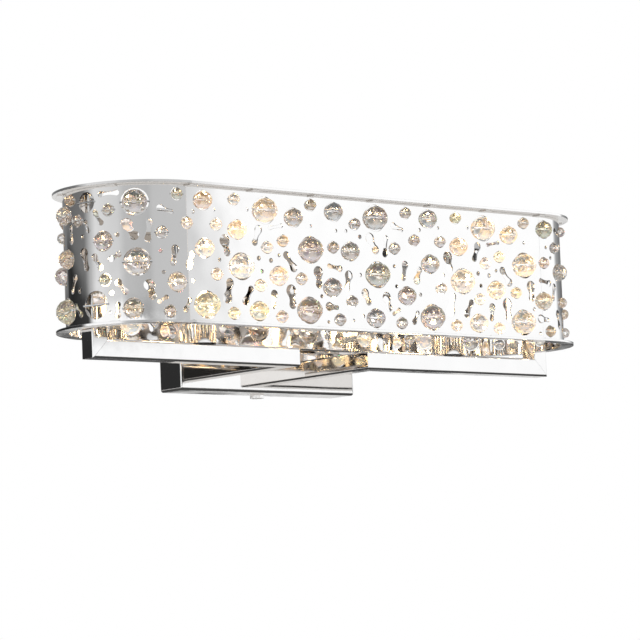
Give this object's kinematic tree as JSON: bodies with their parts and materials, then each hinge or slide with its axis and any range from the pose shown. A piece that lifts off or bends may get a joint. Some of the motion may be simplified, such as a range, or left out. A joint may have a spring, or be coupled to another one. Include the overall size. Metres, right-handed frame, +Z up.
{
  "type": "crystal wall sconce",
  "caption": "Wall light with a long round-ended shade of perforated chrome set with faceted crystal beads, carried on square tube brackets from a rectangular wall pan.",
  "frame": {"origin": "middle of the wall bracket's back face, on the wall plane behind the pan's middle", "axes": "+X to the right along the shade, +Y into the wall, +Z up"},
  "size_m": [0.457, 0.1544, 0.1327],
  "materials": {
    "chrome": "mirror-polished plated steel",
    "pin_steel": "bright wire",
    "crystal": "clear, cut in flat facets",
    "bulb_glass": "clear",
    "tungsten": "coiled filament, glowing when lit",
    "contact_metal": "bright",
    "ceramic": "glazed white ceramic",
    "zinc_steel": "zinc plated",
    "brass": "turned",
    "green_paint": "painted",
    "wire_sleeve": "satin",
    "connector": "moulded"
  },
  "bodies": {
    "fixture": {"arm_nipples": "brass", "arm_nuts": "brass", "arm_washers": "zinc_steel", "ground_screw": "green_paint", "large_bead_pins": "pin_steel", "large_beads": "crystal", "left_arm": "chrome", "left_bar": "chrome", "left_lamp_wire": "wire_sleeve", "left_post": "chrome", "left_shade_strap": "chrome", "left_socket": "ceramic", "left_socket_cup": "chrome", "lower_rim": "chrome", "lower_rim_tabs": "chrome", "medium_bead_pins": "pin_steel", "medium_beads": "crystal", "post_plugs": "zinc_steel", "right_arm": "chrome", "right_bar": "chrome", "right_lamp_wire": "wire_sleeve", "right_post": "chrome", "right_shade_strap": "chrome", "right_socket": "ceramic", "right_socket_cup": "chrome", "shade_back_panel": "chrome", "shade_front_panel": "chrome", "shade_left_end": "chrome", "shade_right_end": "chrome", "small_bead_pins": "pin_steel", "small_beads": "crystal", "socket_nipples": "brass", "socket_nuts": "brass", "strap_screws": "zinc_steel", "upper_rim": "chrome", "upper_rim_tabs": "chrome", "wall_bracket": "zinc_steel", "wall_pan": "chrome", "wire_connectors": "connector"},
    "upper_pan_screw": {"upper_pan_screw": "chrome"},
    "lower_pan_screw": {"lower_pan_screw": "chrome"},
    "left_bulb": {"left_bulb_glass": "bulb_glass", "left_bulb_contacts": "contact_metal", "left_bulb_filament": "tungsten"},
    "right_bulb": {"right_bulb_glass": "bulb_glass", "right_bulb_contacts": "contact_metal", "right_bulb_filament": "tungsten"}
  },
  "joints": [
    {"name": "upper_pan_screw_turn", "type": "hinge", "parent": "fixture", "child": "upper_pan_screw", "pos_m": [0, -0.0095, 0.057], "axis": [0, 0, 1], "range_deg": [0, 1440]},
    {"name": "lower_pan_screw_turn", "type": "hinge", "parent": "fixture", "child": "lower_pan_screw", "pos_m": [0, -0.0095, -0.057], "axis": [0, 0, -1], "range_deg": [0, 1440]},
    {"name": "left_bulb_pull", "type": "slide", "parent": "fixture", "child": "left_bulb", "axis": [0, 0, 1], "range_m": [0, 0.012]},
    {"name": "right_bulb_pull", "type": "slide", "parent": "fixture", "child": "right_bulb", "axis": [0, 0, 1], "range_m": [0, 0.012]}
  ]
}
